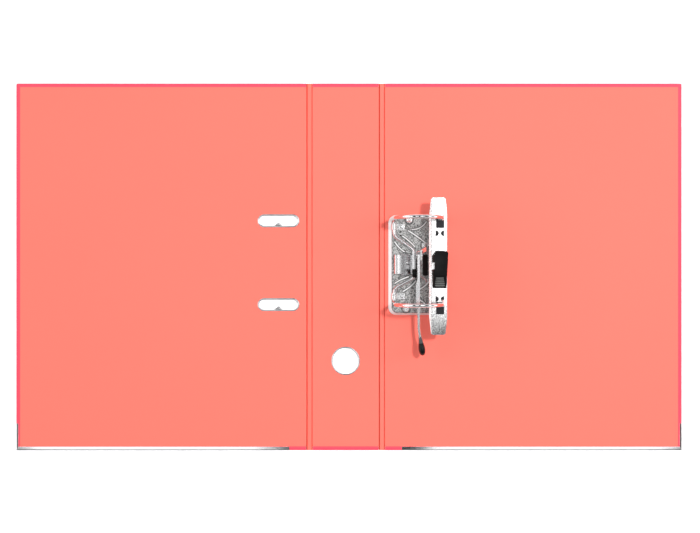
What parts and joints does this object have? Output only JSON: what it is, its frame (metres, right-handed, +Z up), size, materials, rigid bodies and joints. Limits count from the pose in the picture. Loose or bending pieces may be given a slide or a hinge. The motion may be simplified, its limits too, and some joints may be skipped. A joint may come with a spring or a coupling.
{
  "type": "lever arch file",
  "caption": "Two-hole lever arch file lying open: hinged covers and spine, a lever-worked arch mechanism and a sliding paper clamp.",
  "frame": {"origin": "centre of the open file's footprint, on the surface it lies on", "axes": "+X from the front cover across the spine to the back cover, +Y from the railed bottom edges to the top edges, +Z up out of the inside"},
  "size_m": [0.6356, 0.3504, 0.0742],
  "materials": {
    "board": "grey chipboard core",
    "wrap": "satin embossed plastic film",
    "liner": "matte laid paper",
    "hinge": "satin film bonded to paper",
    "rail": "bright nickel plate",
    "wire": "polished nickel plate",
    "plate": "satin zinc plate",
    "bright_steel": "nickel plate",
    "strip_steel": "blackened spring steel",
    "lever_steel": "nickel plate",
    "tip_plastic": "smooth black dip coating",
    "black_plastic": "fine matte moulding",
    "roller_plastic": "smooth moulding"
  },
  "bodies": {
    "back_cover": {"back_board": "board", "back_wrap": "wrap", "back_liner": "liner", "back_edge_rail": "rail", "back_hinge_web": "hinge", "base_plate": "plate", "base_rivets": "bright_steel", "post_upper": "wire", "post_lower": "wire", "axle_clip_upper": "bright_steel", "axle_clip_lower": "bright_steel", "clip_rivets": "bright_steel", "leaf_spring": "lever_steel", "lever_bracket": "lever_steel", "lever_pivot": "lever_steel"},
    "spine": {"spine_board": "board", "spine_wrap": "wrap", "spine_liner": "liner", "finger_ring": "rail", "front_hinge_web": "hinge"},
    "front_cover": {"front_board": "board", "front_wrap": "wrap", "front_liner": "liner", "front_edge_rail": "rail", "slot_eyelet_upper": "rail", "slot_eyelet_lower": "rail"},
    "arches": {"arch_wire": "wire"},
    "lever": {"lever_arm": "lever_steel", "lever_tip": "tip_plastic", "roller_pin": "lever_steel"},
    "roller": {"roller": "roller_plastic"},
    "paper_clamp": {"clamp_bar": "bright_steel", "latch_bracket": "bright_steel", "latch_pin": "bright_steel"},
    "lock_strip": {"lock_strip": "strip_steel"},
    "latch": {"latch_lever": "black_plastic"}
  },
  "joints": [
    {"name": "spine_fold", "type": "hinge", "parent": "back_cover", "child": "spine", "pos_m": [0.0313, 0, 0.0008], "axis": [0, -1, 0], "range_deg": [-90, 0], "deforming": ["back_hinge_web"]},
    {"name": "front_cover_fold", "type": "hinge", "parent": "spine", "child": "front_cover", "pos_m": [-0.0378, 0, 0.0008], "axis": [0, -1, 0], "range_deg": [-90, 0], "deforming": ["front_hinge_web"]},
    {"name": "lever_lift", "type": "hinge", "parent": "back_cover", "child": "lever", "pos_m": [0.0652, 0.0105, 0.02], "axis": [-1, 0, 0], "range_deg": [0, 80]},
    {"name": "arch_swing", "type": "hinge", "parent": "back_cover", "child": "arches", "pos_m": [0.043, 0.0053, 0.0075], "axis": [0, -1, 0], "range_deg": [0, 65]},
    {"name": "roller_spin", "type": "hinge", "parent": "lever", "child": "roller", "pos_m": [0.06175, -0.006, 0.01405], "axis": [-1, 0, 0], "continuous": true},
    {"name": "clamp_slide", "type": "slide", "parent": "back_cover", "child": "paper_clamp", "axis": [0, 0, 1], "range_m": [-0.024, 0.006]},
    {"name": "latch_press", "type": "hinge", "parent": "paper_clamp", "child": "latch", "pos_m": [0.0836, 0.009, 0.0414], "axis": [1, 0, 0], "range_deg": [0, 8]},
    {"name": "lock_slide", "type": "slide", "parent": "paper_clamp", "child": "lock_strip", "axis": [0, 1, 0], "range_m": [-0.002, 0], "stiffness_N_per_m": 150, "springref_m": 0.003}
  ],
  "couplings": [
    {"joint": "arch_swing", "follows": "lever_lift", "ratio": 0.8125},
    {"joint": "latch_press", "follows": "lock_slide", "rad_per_m": -69.8}
  ]
}
